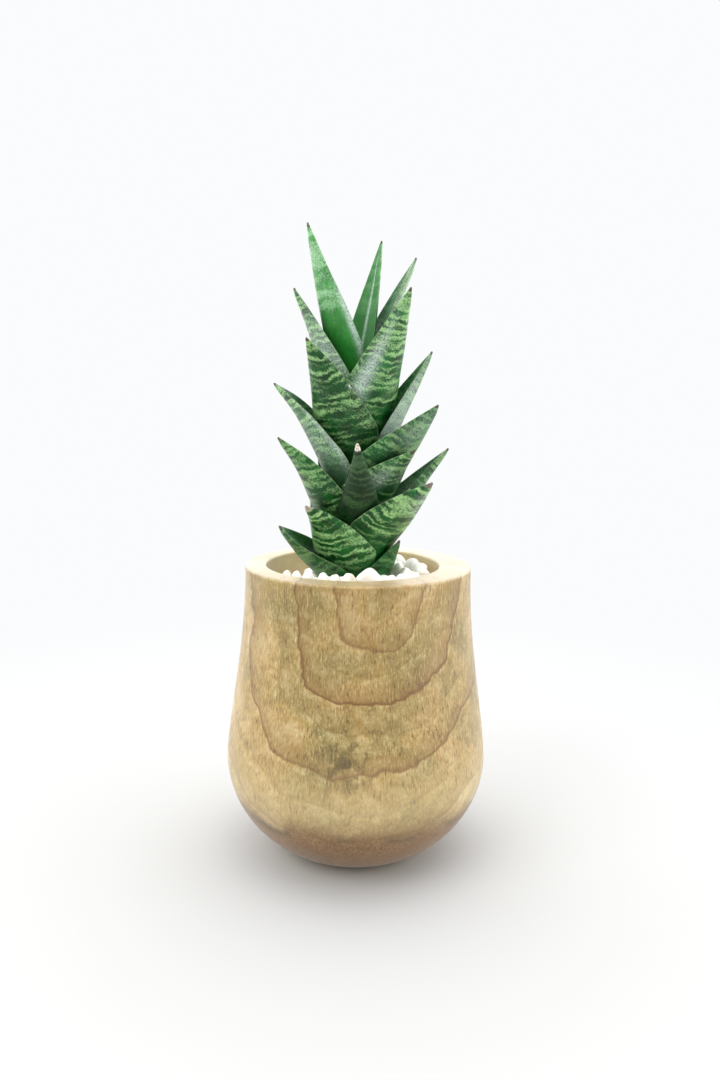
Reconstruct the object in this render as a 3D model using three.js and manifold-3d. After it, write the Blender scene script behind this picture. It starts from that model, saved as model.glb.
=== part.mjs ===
// A potted snake plant: a short-stemmed rosette of thick, cupped, pointed leaves
// in a turned wooden pot, with soil and a dressing of pale pebbles.
//
// Frame: millimetres, +Z up. The origin is the centre of the pot's foot, on the
// surface that the pot stands on. -Y is the plant's best side, +X is to its right.

import * as THREE from 'three';
import { mergeVertices } from 'three/addons/utils/BufferGeometryUtils.js';
import Module from 'manifold-3d';

const wasm = await Module();
wasm.setup();

// ---------------------------------------------------------------- dimensions
const POT_HEIGHT = 122;
const POT_RIM_RADIUS = 46.8;
const POT_BELLY_RADIUS = 55;
const POT_BELLY_HEIGHT = 41;
const POT_FOOT_RADIUS = 22;
const POT_EDGE_ROUND = 1.2;
const BORE_RADIUS = 36;
const BORE_OFFSET = new THREE.Vector2(-2.3, 0.4);
const BORE_FLOOR = 14;
const TURNED_SIDES = 32;

const GAP = 0.3; // clearance kept between neighbouring pieces
const SOIL_TOP = 107;
const GRAVEL_TOP = 113;
const GRAVEL_SLOPE = 0.075; // the gravel rises towards the front right
const GRAVEL_RISE_FACING = 40;
const STEM_BOTTOM = 92;
const STEM_TOP = 185;

// The leaf bases close round a core that is widest at the gravel and runs to a
// point at the growing tip. The stem itself fills the inside of this core.
const CORE_RADIUS = 10.4;
const CORE_TIP_RADIUS = 3.4;
const CORE_BASE_HEIGHT = 112;
const CORE_TIP_HEIGHT = 186;
const CORE_TAPER = 1.7;
const STEM_INSET = 2.0;

const LEAF_THICKNESS = 2.6; // flesh at the middle of the leaf's base
const LEAF_EDGE = 0.6; // thickness of the margin
const LEAF_CLASP = 85; // degrees that each side of a leaf base reaches round the core
const LEAF_STEPS = 9;
const LEAF_STRIPS = 4;
const WIDEST_AT = 0.38; // share of the length at which a leaf is widest
const TIP_WIDTH = 0.5;

const COLOURS = {
  wood: 0xb8a074,
  soil: 0x3a2c22,
  stem: 0x5d7a3c,
  leaf: 0x2f6b3a,
  leafYoung: 0x5fa84a,
  pebble: 0xe9e4d8,
};

// Each leaf, outermost first. Angles are degrees. facing: compass angle
// from -Y towards +X. height: where it leaves the stem. lean: tilt from upright at
// the base, at mid length and at the tip. cup: half angle of its curved section.
// sweep: sideways curve of the tip. twist: turn about its own length.
// left: how far the left side reaches round, as a share of the right.
const LEAVES = [
  { facing: -70, height: 108, length: 38.5, lean: [26, 41.5, 35.5], width: 35, cup: 56, twist: -22 },
  { facing: 62, height: 108, length: 27, lean: [14, 23, 20], width: 23, cup: 54, twist: 2 },
  { facing: 165, height: 110, length: 42, lean: [16, 46, 50], width: 30, cup: 55 },
  { facing: -41, height: 110, length: 44, lean: [10, 24.5, 45.5], width: 38, cup: 57, twist: 3 },
  { facing: -146, height: 115, length: 46, lean: [12, 40, 44], width: 32, cup: 52 },
  { facing: 51, height: 118.5, length: 49, lean: [12, 40, 42.5], width: 38, cup: 51, twist: -11 },
  { facing: 138, height: 118, length: 46, lean: [12, 38, 42], width: 32, cup: 52 },
  { facing: 97, height: 121, length: 57, lean: [12, 34, 36.5], width: 30, cup: 76, twist: -3, left: 0.85 },
  { facing: 4, height: 124, length: 55, lean: [7, 36, 19], width: 19, cup: 56, twist: -8, sweep: -14 },
  { facing: -61, height: 125.5, length: 55.5, lean: [13.5, 25.5, 40.5], width: 34, cup: 53, twist: 1 },
  { facing: -172, height: 130, length: 52, lean: [10, 34, 38], width: 33, cup: 50 },
  { facing: 44, height: 136, length: 42.5, lean: [7, 38.5, 47], width: 35.5, cup: 55, twist: 2 },
  { facing: -142, height: 136, length: 48, lean: [8, 22, 28], width: 28, cup: 50 },
  { facing: 54.5, height: 140.5, length: 56.5, lean: [10, 39.5, 36], width: 37, cup: 50, twist: -10 },
  { facing: 146, height: 142, length: 54, lean: [8, 30, 34], width: 32, cup: 50 },
  { facing: -82, height: 146, length: 56, lean: [9.5, 25.5, 41.5], width: 40, cup: 53, twist: -12 },
  { facing: -33, height: 151, length: 66.5, lean: [5, 24.5, 33.5], width: 35, cup: 51, twist: -3.5 },
  { facing: 95, height: 150, length: 63.5, lean: [11, 24, 24], width: 34, cup: 76, left: 0.78 },
  { facing: -166, height: 154, length: 60, lean: [8, 26, 30], width: 32, cup: 48 },
  { facing: 37, height: 158, length: 77.5, lean: [4, 26, 22.5], width: 35, cup: 47, twist: 7 },
  { facing: -140, height: 166, length: 52, lean: [6, 18, 24], width: 28, cup: 46 },
  { facing: 150, height: 168, length: 60, lean: [6, 20, 25], width: 30, cup: 46 },
  { facing: -82, height: 171, length: 64.5, lean: [5.5, 19, 22.5], width: 38, cup: 55, twist: -9 },
  { facing: 106, height: 176, length: 73.5, lean: [4.5, 18, 23], width: 29, cup: 49 },
  { facing: -55, height: 179, length: 78.5, lean: [2.5, 17, 14], width: 27, cup: 43, twist: -6, young: true },
  { facing: 149, height: 185, length: 72, lean: [2.5, 19, 15], width: 15, cup: 60, twist: -4, young: true },
];

// Each loose pebble on the gravel: compass angle, distance from the middle of the
// bore, length and height. One row stands along the front wall, with one large
// pebble in it, and a heap lies at the back right.
const PEBBLES = [
  [-56, 31.2, 5.8, 8.8], [-45, 30.8, 5, 8.8], [-34, 30.6, 6.4, 9], [-21, 30.4, 5.4, 8.8],
  [-12, 30.6, 4.8, 8.4], [-2, 30, 6, 8.6], [13.6, 27.7, 10.8, 9.6], [28, 31.6, 6.4, 7.2],
  [39, 31, 7, 7], [51, 31, 7, 6.6],
  [-38, 24, 6.4, 6], [-24, 22.5, 7, 6.4], [-8, 21.5, 7, 6.4], [32, 23, 7, 6],
  [65, 25, 7.6, 6.4], [76, 29.5, 8, 6.4], [88, 22, 7, 6.4], [97, 28.5, 9, 7.4], [108, 20.5, 7, 7.4],
  [116, 28.5, 8.4, 8], [130, 22, 7.6, 8], [138, 29.5, 8.6, 8.6], [157, 29, 8.4, 7], [160, 20, 7, 6.4],
  [178, 29, 8, 5.4], [-165, 21, 6.6, 4.8], [-160, 30, 7.4, 4.6], [-140, 29, 6.8, 4.2],
];
const PEBBLE_BREADTH = 0.82; // breadth as a share of length

// ------------------------------------------------------------------- helpers
const clamp01 = (x) => THREE.MathUtils.clamp(x, 0, 1);
const ease = (x) => clamp01(x) ** 2 * (3 - 2 * clamp01(x));
const radians = THREE.MathUtils.degToRad;

function compass(angle, reach, z) {
  return new THREE.Vector3(Math.sin(angle) * reach, -Math.cos(angle) * reach, z);
}

// A closed geometry with merged vertices becomes a solid that can be cut and joined.
function toSolid(geometry) {
  const bare = geometry.clone();
  bare.deleteAttribute('normal');
  bare.deleteAttribute('uv');
  const merged = mergeVertices(bare, 1e-4);
  return new wasm.Manifold(new wasm.Mesh({
    numProp: 3,
    vertProperties: new Float32Array(merged.attributes.position.array),
    triVerts: new Uint32Array(merged.index.array),
  }));
}

function toGeometry(solid) {
  const mesh = solid.getMesh();
  const geometry = new THREE.BufferGeometry();
  geometry.setAttribute('position', new THREE.BufferAttribute(mesh.vertProperties, 3));
  geometry.setIndex(new THREE.BufferAttribute(mesh.triVerts, 1));
  return geometry;
}

// Cuts leave crumbs where two curved skins graze; the piece is the largest body.
function largestBody(solid) {
  const bodies = solid.decompose();
  return bodies.reduce((best, body) => (body.volume() > best.volume() ? body : best));
}

function boxesMeet(a, b) {
  const one = a.boundingBox();
  const two = b.boundingBox();
  return [0, 1, 2].every((k) => one.min[k] < two.max[k] && two.min[k] < one.max[k]);
}

function cutAll(solid, cutters) {
  const near = cutters.filter((cutter) => boxesMeet(solid, cutter));
  return largestBody(near.reduce((left, cutter) => left.subtract(cutter), solid));
}

// A LatheGeometry turns about Y, so it is tipped up to turn about Z.
function turned(profile, sides) {
  return new THREE.LatheGeometry(profile, sides).rotateX(Math.PI / 2);
}

const group = new THREE.Group();

function addPiece(name, solid, colour, roughness) {
  const geometry = toGeometry(solid);
  geometry.computeVertexNormals();
  const material = new THREE.MeshStandardMaterial({ color: colour, roughness, metalness: 0 });
  const mesh = new THREE.Mesh(geometry, material);
  mesh.name = name;
  group.add(mesh);
}

// ----------------------------------------------------------------------- pot
// The foot swells out quickly to the belly, then the wall draws in to the rim.
function potRadius(z) {
  if (z < POT_BELLY_HEIGHT) {
    const below = 1 - z / POT_BELLY_HEIGHT;
    return POT_FOOT_RADIUS + (POT_BELLY_RADIUS - POT_FOOT_RADIUS) * (1 - below ** 2) ** 0.62;
  }
  const above = (z - POT_BELLY_HEIGHT) / (POT_HEIGHT - POT_BELLY_HEIGHT);
  const drawIn = POT_BELLY_RADIUS - POT_RIM_RADIUS;
  return POT_BELLY_RADIUS - drawIn * Math.sin((Math.PI / 2) * above) ** 1.3;
}

function potSolid() {
  const heights = [1.2, 3.5, 8, 14, 22, 31, 41, 54, 68, 82, 96, 109, POT_HEIGHT - POT_EDGE_ROUND];
  const outline = [
    new THREE.Vector2(0, 0),
    new THREE.Vector2(POT_FOOT_RADIUS, 0),
    ...heights.map((z) => new THREE.Vector2(potRadius(z), z)),
    new THREE.Vector2(POT_RIM_RADIUS - POT_EDGE_ROUND, POT_HEIGHT),
    new THREE.Vector2(0, POT_HEIGHT),
  ];
  const bore = [
    new THREE.Vector2(0, BORE_FLOOR),
    new THREE.Vector2(BORE_RADIUS, BORE_FLOOR),
    new THREE.Vector2(BORE_RADIUS, POT_HEIGHT - POT_EDGE_ROUND),
    new THREE.Vector2(BORE_RADIUS + 2 * POT_EDGE_ROUND, POT_HEIGHT + POT_EDGE_ROUND),
    new THREE.Vector2(0, POT_HEIGHT + POT_EDGE_ROUND),
  ];
  const hollow = toSolid(turned(bore, TURNED_SIDES)).translate([BORE_OFFSET.x, BORE_OFFSET.y, 0]);
  return toSolid(turned(outline, TURNED_SIDES)).subtract(hollow);
}

// ---------------------------------------------------------------------- stem
const stemX = (z) => -1 - (z - 115) / 35;

function coreRadius(z) {
  const up = clamp01((z - CORE_BASE_HEIGHT) / (CORE_TIP_HEIGHT - CORE_BASE_HEIGHT));
  return CORE_RADIUS - (CORE_RADIUS - CORE_TIP_RADIUS) * up ** CORE_TAPER;
}

// A stack of rings round the leaning axis, closed by a point at each end.
function stemSolid(grow) {
  const rings = 9;
  const sides = 16;
  const bottom = STEM_BOTTOM - grow;
  const top = STEM_TOP + grow;
  const points = [stemX(bottom), 0, bottom];
  for (let i = 0; i < rings; i += 1) {
    const z = THREE.MathUtils.lerp(bottom + 1, top - 1, i / (rings - 1));
    const radius = Math.max(coreRadius(z) - STEM_INSET, 0.8) + grow;
    for (let j = 0; j < sides; j += 1) {
      const p = compass((j / sides) * 2 * Math.PI, radius, z);
      points.push(p.x + stemX(z), p.y, p.z);
    }
  }
  points.push(stemX(top), 0, top);
  const last = points.length / 3 - 1;
  const index = [];
  for (let j = 0; j < sides; j += 1) {
    const k = (j + 1) % sides;
    index.push(0, 1 + k, 1 + j);
    for (let i = 0; i < rings - 1; i += 1) {
      const low = 1 + i * sides;
      const high = low + sides;
      index.push(low + j, low + k, high + k, low + j, high + k, high + j);
    }
    index.push(last, last - sides + j, last - sides + k);
  }
  return solidFrom(points, index);
}

function solidFrom(points, index) {
  const geometry = new THREE.BufferGeometry();
  geometry.setAttribute('position', new THREE.Float32BufferAttribute(points, 3));
  geometry.setIndex(index);
  return toSolid(geometry);
}

// -------------------------------------------------------------------- leaves
// Stations along the leaf's middle line: the tilt eases from base to mid length
// and on to the tip, and each station carries its own across and inward axes.
function leafStations(leaf, grow) {
  const turn = radians(leaf.facing);
  const [low, middle, high] = leaf.lean.map(radians);
  const start = compass(turn, coreRadius(leaf.height), leaf.height);
  const place = new THREE.Vector3(start.x + stemX(leaf.height), start.y, start.z);
  const fine = 8;
  const step = (leaf.length + grow) / (LEAF_STEPS - 1) / fine;
  const stations = [];
  for (let i = 0; i <= (LEAF_STEPS - 1) * fine; i += 1) {
    const t = i / ((LEAF_STEPS - 1) * fine);
    const tilt = low + (middle - low) * ease(t / 0.45) + (high - middle) * ease((t - 0.45) / 0.55);
    const facing = turn + radians(leaf.sweep ?? 0) * t * t;
    const along = compass(facing, Math.sin(tilt), Math.cos(tilt));
    if (i > 0) place.addScaledVector(along, step);
    if (i % fine === 0) {
      const across = new THREE.Vector3(Math.cos(facing), Math.sin(facing), 0);
      const inward = along.clone().cross(across);
      const twist = radians(leaf.twist ?? 0) * ease(t);
      across.applyAxisAngle(along, twist);
      inward.applyAxisAngle(along, twist);
      stations.push({ t, place: place.clone(), across, inward });
    }
  }
  return stations;
}

function leafHalfWidth(leaf, t) {
  const clasping = radians(LEAF_CLASP) * coreRadius(leaf.height);
  const full = leaf.width / 2;
  if (t < WIDEST_AT) return clasping + (full - clasping) * ease(t / WIDEST_AT);
  return Math.max(full * (1 - ((t - WIDEST_AT) / (1 - WIDEST_AT)) ** 1.22), TIP_WIDTH);
}

// A leaf's section is an arc, open towards the stem: thick along the middle and
// thin at both margins. grow makes the same leaf larger all round.
function leafSolid(leaf, grow) {
  const points = [];
  const columns = LEAF_STRIPS + 1;
  for (const { t, place, across, inward } of leafStations(leaf, grow)) {
    const half = leafHalfWidth(leaf, t);
    const opening = radians(LEAF_CLASP + (leaf.cup - LEAF_CLASP) * ease(t / 0.42));
    const radius = half / opening;
    const flesh = LEAF_THICKNESS * (1 - 0.55 * t) * Math.min(1, half / 3 + 0.15);
    for (const side of [-1, 1]) {
      for (let j = 0; j < columns; j += 1) {
        const u = (2 * j) / LEAF_STRIPS - 1;
        const share = u < 0 ? leaf.left ?? 1 : 1;
        const bend = u * (share * opening + grow / radius);
        const depth = (flesh * (1 - Math.abs(u) ** 2.2) + LEAF_EDGE) / 2 + grow;
        const reach = radius - side * depth;
        points.push(...place.clone()
          .addScaledVector(inward, radius)
          .addScaledVector(across, reach * Math.sin(bend))
          .addScaledVector(inward, -reach * Math.cos(bend))
          .toArray());
      }
    }
  }
  return solidFrom(points, leafFaces(LEAF_STEPS, columns));
}

// Faces of a closed slab whose every station holds one row of outer points
// followed by one row of inner points.
function leafFaces(rows, columns) {
  const at = (row, side, column) => (row * 2 + side) * columns + column;
  const index = [];
  const quad = (a, b, c, d) => index.push(a, b, c, a, c, d);
  for (let i = 0; i < rows - 1; i += 1) {
    for (let j = 0; j < columns - 1; j += 1) {
      quad(at(i, 0, j), at(i, 0, j + 1), at(i + 1, 0, j + 1), at(i + 1, 0, j));
      quad(at(i, 1, j), at(i + 1, 1, j), at(i + 1, 1, j + 1), at(i, 1, j + 1));
    }
    quad(at(i, 0, 0), at(i + 1, 0, 0), at(i + 1, 1, 0), at(i, 1, 0));
    const end = columns - 1;
    quad(at(i, 0, end), at(i, 1, end), at(i + 1, 1, end), at(i + 1, 0, end));
  }
  for (let j = 0; j < columns - 1; j += 1) {
    quad(at(0, 0, j), at(0, 1, j), at(0, 1, j + 1), at(0, 0, j + 1));
    const top = rows - 1;
    quad(at(top, 0, j), at(top, 0, j + 1), at(top, 1, j + 1), at(top, 1, j));
  }
  return index;
}

// ----------------------------------------------------------- soil and gravel
// Height of the sloping gravel above or below its middle, at a place in the bore.
function gravelRise(x, y) {
  const facing = radians(GRAVEL_RISE_FACING);
  return GRAVEL_SLOPE * (x * Math.sin(facing) - y * Math.cos(facing));
}

// A plug that fills the bore between two heights, with a slightly domed top. Its
// top may follow the gravel's slope, which fades out towards its flat bottom.
function boreFill(bottom, top, crown, sloped) {
  const radius = BORE_RADIUS - GAP;
  const profile = [
    new THREE.Vector2(0, bottom),
    new THREE.Vector2(radius, bottom),
    new THREE.Vector2(radius, top),
    new THREE.Vector2(radius * 0.6, top + crown * 0.8),
    new THREE.Vector2(0, top + crown),
  ];
  const plug = turned(profile, TURNED_SIDES);
  const place = plug.attributes.position;
  for (let i = 0; sloped && i < place.count; i += 1) {
    const share = (place.getZ(i) - bottom) / (top - bottom);
    place.setZ(i, place.getZ(i) + share * gravelRise(place.getX(i), place.getY(i)));
  }
  return toSolid(plug).translate([BORE_OFFSET.x, BORE_OFFSET.y, 0]);
}

// An egg-shaped pebble lying on the gravel, its long axis along the bore's wall.
function pebbleSolid([angle, reach, length, height]) {
  const pebble = new THREE.SphereGeometry(0.5, 8, 6);
  pebble.rotateX(Math.PI / 2);
  pebble.scale(length, length * PEBBLE_BREADTH, height);
  pebble.rotateZ(radians(angle));
  const seat = compass(radians(angle), reach, GRAVEL_TOP + 0.62 * height - 0.6);
  const rise = gravelRise(seat.x, seat.y);
  pebble.translate(seat.x + BORE_OFFSET.x, seat.y + BORE_OFFSET.y, seat.z + rise);
  return toSolid(pebble);
}

// ------------------------------------------------------------------ assembly
addPiece('pot', potSolid(), COLOURS.wood, 0.45);
addPiece('stem', stemSolid(0), COLOURS.stem, 0.6);

// Outer leaves are whole, and each leaf gives way to those before it.
const twoDigits = (n) => String(n).padStart(2, '0');
const stemClearance = stemSolid(GAP);
const leafClearances = [];
LEAVES.forEach((leaf, i) => {
  const solid = cutAll(leafSolid(leaf, 0), [stemClearance, ...leafClearances]);
  leafClearances.push(leafSolid(leaf, GAP));
  addPiece(`leaf_${twoDigits(i + 1)}`, solid, leaf.young ? COLOURS.leafYoung : COLOURS.leaf, 0.4);
});

const planted = [stemClearance, ...leafClearances];
addPiece('soil', cutAll(boreFill(BORE_FLOOR + GAP, SOIL_TOP, 0, false), planted), COLOURS.soil, 0.95);

const gravel = cutAll(boreFill(SOIL_TOP + GAP, GRAVEL_TOP - 1, 1, true), planted);
addPiece('gravel_bed', gravel, COLOURS.pebble, 0.7);
const settled = [gravel];
PEBBLES.forEach((row, i) => {
  const pebble = cutAll(pebbleSolid(row), [...planted, ...settled]);
  settled.push(pebble);
  addPiece(`pebble_${twoDigits(i + 1)}`, pebble, COLOURS.pebble, 0.6);
});

export default group;
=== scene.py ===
"""A potted snake plant: cross-banded, cupped leaves in a turned wooden pot, dressed with pebbles.

Every surface is a formula of two parameters, worked out with numpy as whole arrays in
millimetres and put into the mesh in metres. Leaves carry four attributes for their materials:
"blade" (place across from -1 to 1, share of the length, 0 outside to 1 inside), "lay"
(millimetres across, millimetres along, a different number for each leaf), "nature" (how strong
the pale bands are, the dead share of the length, how pale that point is) and "coat" (how much
painted sheen there is, as pale patches standing in for glossy highlights, and how much darker
the leaf is painted than the others, as painted shade).
"""
import math

import bpy
import numpy as np
from mathutils import Matrix, Vector


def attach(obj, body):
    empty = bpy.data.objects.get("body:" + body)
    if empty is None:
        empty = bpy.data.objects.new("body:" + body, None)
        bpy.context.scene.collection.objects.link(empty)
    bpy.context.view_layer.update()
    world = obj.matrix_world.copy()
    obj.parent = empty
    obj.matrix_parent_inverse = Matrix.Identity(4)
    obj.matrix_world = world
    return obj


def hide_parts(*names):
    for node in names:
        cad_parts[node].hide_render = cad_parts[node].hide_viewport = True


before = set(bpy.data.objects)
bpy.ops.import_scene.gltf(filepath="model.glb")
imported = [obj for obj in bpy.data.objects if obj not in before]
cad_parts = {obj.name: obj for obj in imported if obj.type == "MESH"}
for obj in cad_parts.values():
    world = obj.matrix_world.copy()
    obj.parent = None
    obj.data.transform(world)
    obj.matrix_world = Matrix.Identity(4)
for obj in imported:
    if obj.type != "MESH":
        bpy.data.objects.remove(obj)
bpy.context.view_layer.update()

MM = 0.001

# ------------------------------------------------------------------ dimensions, millimetres
POT_HEIGHT = 122.0
POT_RIM_RADIUS = 46.8
POT_BELLY_RADIUS = 55.0
POT_BELLY_HEIGHT = 41.0
POT_FOOT_RADIUS = 22.0
FOOT_SWELL = 0.62  # power of the curve from the foot out to the belly
WALL_DRAW_IN = 1.3  # power of the curve from the belly in to the rim
FOOT_EASED = 0.4
RIM_ROUND = 1.1
BORE_RADIUS = 36.0
BORE_OFFSET = np.array([-2.3, 0.4])
BORE_FLOOR = 14.0

SOIL_TOP = 107.0
SOIL_RADIUS = BORE_RADIUS - 0.4
GRAVEL_TOP = 113.0
GRAVEL_SLOPE = 0.075  # the gravel rises towards the front right
GRAVEL_RISE_FACING = math.radians(40.0)
GRAVEL_RINGS = ((15.5, 12), (21.5, 17), (27.5, 22), (32.6, 27))  # reach, number of chips
GRAVEL_BREADTH = 0.85

CORE_RADIUS = 10.4
CORE_TIP_RADIUS = 3.4
CORE_HEIGHTS = (112.0, 186.0)
CORE_TAPER = 1.7
STEM_HEIGHTS = (92.0, 185.0)
STEM_INSET = 4.5
STEM_LEAST_RADIUS = 1.2
STEM_END_ROUND = 6.0
STEM_X = -1.0  # where the stem stands at STEM_X_HEIGHT
STEM_X_HEIGHT = 115.0
STEM_LEAN = 35.0  # millimetres of rise for each one to the left
JOINT_SWELL = 0.25
JOINT_WAVE = 1.9  # radians for each millimetre of rise

LEAF_FLESH = 2.6
LEAF_EDGE = 0.55
LEAF_CLASP = 85.0  # half angle of the arc at the base, in degrees
WIDEST_AT = 0.38  # this and the next two are shares of the leaf's length
BENT_AT = 0.45
CUPPED_AT = 0.42
TAPER_POWER = 1.22
TIP_HALF_WIDTH = 0.35
TIP_ROUND = 0.015  # share of the length that is rounded to the point
MARGIN_WAVE = 0.012
LEAF_ROWS = 113
LEAF_COLUMNS = 33
SHEATH_GAP = 0.25  # air between one leaf's inside and the next leaf's outside
SHEATH_LIMIT = 8.0  # the most that an inner leaf is drawn in under an outer one
SHEATH_LEAST_RADIUS = 2.0
SHEATH_SMOOTHING = 10  # times the drawing in is averaged over the grid
SHELF_TURNS = 120  # the table of room under the outer leaves: its cells round the stem,
SHELF_LEVELS = 162  # and its cells up the stem, each a millimetre high,
SHELF_BOTTOM = 100.0  # from this height

# Outermost leaf first. facing: angle in degrees from the front towards the right; sweep: how far
# that turns by the tip. height: of the base on the stem. lean: tilt from upright at the base, middle
# and tip. cup: half angle of the arc further up. twist: turn about the leaf's own middle line.
# left: how far the left side reaches round, as a share of the right. bands: how strong the pale
# bands are. dry: length of the dead point, and cream: how pale it is. bloom: painted sheen, pale
# patches that stand in for glossy highlights and reflections, each with its place across and
# along, its spread across and along, and its strength. deep: painted shade, how much darker the
# leaf is painted than the others. young: plain, bright green.
LEAVES = [
    dict(facing=-70, height=108, length=38.5, lean=(26, 41.5, 35.5), width=35, cup=56, twist=-22,
         bands=0.4, painted_sheen_patches=[(0.2, 0.6, 0.4, 0.25, 0.12)]),
    dict(facing=62, height=108, length=27, lean=(14, 23, 20), width=23, cup=54, twist=2, bands=0.3),
    dict(facing=165, height=110, length=42, lean=(16, 46, 50), width=30, cup=55),
    dict(facing=-41, height=110, length=44, lean=(10, 24.5, 45.5), width=38, cup=57, twist=3, dry=2.2,
         bands=1.0, cream=0.5),
    dict(facing=-146, height=115, length=46, lean=(12, 40, 44), width=32, cup=52),
    dict(facing=51, height=118.5, length=49, lean=(12, 40, 42.5), width=38, cup=51, twist=-11, dry=2.5,
         bands=1.0, cream=0.15, painted_sheen_patches=[(0.1, 0.8, 0.5, 0.15, 0.3)], painted_shade=0.15),
    dict(facing=138, height=118, length=46, lean=(12, 38, 42), width=32, cup=52),
    dict(facing=97, height=121, length=57, lean=(12, 34, 36.5), width=30, cup=76, twist=-3,
         left=0.85, bands=0.6, painted_sheen_patches=[(0.3, 0.6, 0.6, 0.3, 0.3)]),
    dict(facing=4, height=124, length=55, lean=(7, 36, 19), width=19, cup=56, twist=-8, sweep=-14, dry=2.6,
         bands=0.35, cream=1.0, painted_shade=0.9),
    dict(facing=-61, height=125.5, length=55.5, lean=(13.5, 25.5, 40.5), width=34, cup=53, twist=1,
         bands=0.75, painted_shade=0.25),
    dict(facing=-172, height=130, length=52, lean=(10, 34, 38), width=33, cup=50),
    dict(facing=44, height=136, length=42.5, lean=(7, 38.5, 47), width=35.5, cup=55, twist=2,
         bands=0.85, painted_sheen_patches=[(-0.5, 0.62, 0.3, 0.16, 0.35), (0.97, 0.5, 0.05, 0.4, 0.9)], painted_shade=0.3),
    dict(facing=-142, height=136, length=48, lean=(8, 22, 28), width=28, cup=50),
    dict(facing=54.5, height=140.5, length=56.5, lean=(10, 39.5, 36), width=37, cup=50, twist=-10,
         bands=0.55, painted_sheen_patches=[(-0.3, 0.8, 0.5, 0.2, 0.25)], painted_shade=0.15),
    dict(facing=146, height=142, length=54, lean=(8, 30, 34), width=32, cup=50),
    dict(facing=-82, height=146, length=56, lean=(9.5, 25.5, 41.5), width=40, cup=53, twist=-12,
         bands=0.9, painted_sheen_patches=[(0.55, 0.5, 0.5, 0.3, 0.3), (0.95, 0.45, 0.12, 0.4, 0.6)]),
    dict(facing=-33, height=151, length=66.5, lean=(5, 24.5, 33.5), width=35, cup=51, twist=-3.5,
         bands=1.0, painted_sheen_patches=[(1.0, 0.665, 0.07, 0.012, 1.6), (-0.97, 0.5, 0.05, 0.5, 0.5)], painted_shade=0.45),
    dict(facing=95, height=150, length=63.5, lean=(11, 24, 24), width=34, cup=76, left=0.78,
         bands=0.6, painted_sheen_patches=[(-0.9, 0.5, 0.8, 0.4, 0.65)]),
    dict(facing=-166, height=154, length=60, lean=(8, 26, 30), width=32, cup=48),
    dict(facing=37, height=158, length=77.5, lean=(4, 26, 22.5), width=35, cup=47, twist=7,
         bands=0.9,
         painted_sheen_patches=[(-0.62, 0.56, 0.2, 0.25, 0.85), (0.95, 0.45, 0.07, 0.35, 0.9)]),
    dict(facing=-140, height=166, length=52, lean=(6, 18, 24), width=28, cup=46),
    dict(facing=150, height=168, length=60, lean=(6, 20, 25), width=30, cup=46),
    dict(facing=-82, height=171, length=64.5, lean=(5.5, 19, 22.5), width=38, cup=55, twist=-9,
         bands=0.9, painted_sheen_patches=[(0.7, 0.45, 0.7, 0.35, 0.55)]),
    dict(facing=106, height=176, length=73.5, lean=(4.5, 18, 23), width=29, cup=49,
         bands=0.5, painted_sheen_patches=[(-0.5, 0.6, 0.4, 0.5, 0.5)]),
    dict(facing=-55, height=179, length=78.5, lean=(2.5, 17, 14), width=27, cup=43, twist=-6, young=True,
         painted_sheen_patches=[(0.93, 0.5, 0.1, 0.18, 1.1), (0.0, 0.85, 1.0, 0.25, 0.12)]),
    dict(facing=149, height=185, length=72, lean=(2.5, 19, 15), width=15, cup=60, twist=-4, young=True,
         painted_sheen_patches=[(0.0, 0.6, 0.10, 0.4, 1.0)]),
]

# Compass angle, distance from the middle of the bore, length, height.
PEBBLES = [
    (-56, 31.2, 5.8, 8.8), (-45, 30.8, 5, 8.8), (-34, 30.6, 6.4, 9), (-21, 30.4, 5.4, 8.8),
    (-12, 30.6, 4.8, 8.4), (-2, 30, 6, 8.6), (13.6, 27.7, 10.8, 9.6), (28, 31.6, 6.4, 7.2),
    (39, 31, 7, 7), (51, 31, 7, 6.6),
    (-38, 24, 6.4, 6), (-24, 22.5, 7, 6.4), (-8, 21.5, 7, 6.4), (32, 23, 7, 6),
    (65, 25, 7.6, 6.4), (76, 29.5, 8, 6.4), (88, 22, 7, 6.4), (97, 28.5, 9, 7.4), (108, 20.5, 7, 7.4),
    (116, 28.5, 8.4, 8), (130, 22, 7.6, 8), (138, 29.5, 8.6, 8.6), (157, 29, 8.4, 7), (160, 20, 7, 6.4),
    (178, 29, 8, 5.4), (-165, 21, 6.6, 4.8), (-160, 30, 7.4, 4.6), (-140, 29, 6.8, 4.2),
]
PEBBLE_BREADTH = 0.82
PEBBLE_LIFT = 0.62  # share of a pebble's height that its middle stands above the gravel
PEBBLE_SINK = 0.6

# Each growth line on the pot: its distance from the log's heart and how dark it is.
RINGS = [(16.5, 0.7), (23.5, 0.15), (31.0, 1.0), (38.5, 0.2), (49.5, 0.85), (58.0, 0.15), (67.0, 0.45)]
RING_SPAN = 80.0
RING_POWER = 2.9  # 2 would leave round rings, and more makes them squarer
RING_SQUASH = 0.69  # less than 1 makes them taller than wide
HEART_X = 9.5
HEART_LEAN = -0.13  # how far the heart moves to the right for each millimetre down
HEART_ABOVE_RIM = 1.0
PALE_ZONE = (58.0, 38.0)  # heights between which the wood turns paler
FOOT_BAND = (45.0, 28.0)  # heights between which it turns brown
BURN_HEIGHT = 34.0  # of the burns along the brown band, which reach BURN_REACH up and down
BURN_REACH = 4.0
STAIN_PLACE = (-3.0, -54.0, 57.0)
STAIN_REACH = (16.0, 2.0)  # distances from that place where the stain begins and is full

CAMERA_PLACE = (0.62, -345.6, 188.0)
CAMERA_DIP = 9.24  # degrees
CAMERA_ROLL = 0.78
CAMERA_LENS = 28.0

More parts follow.
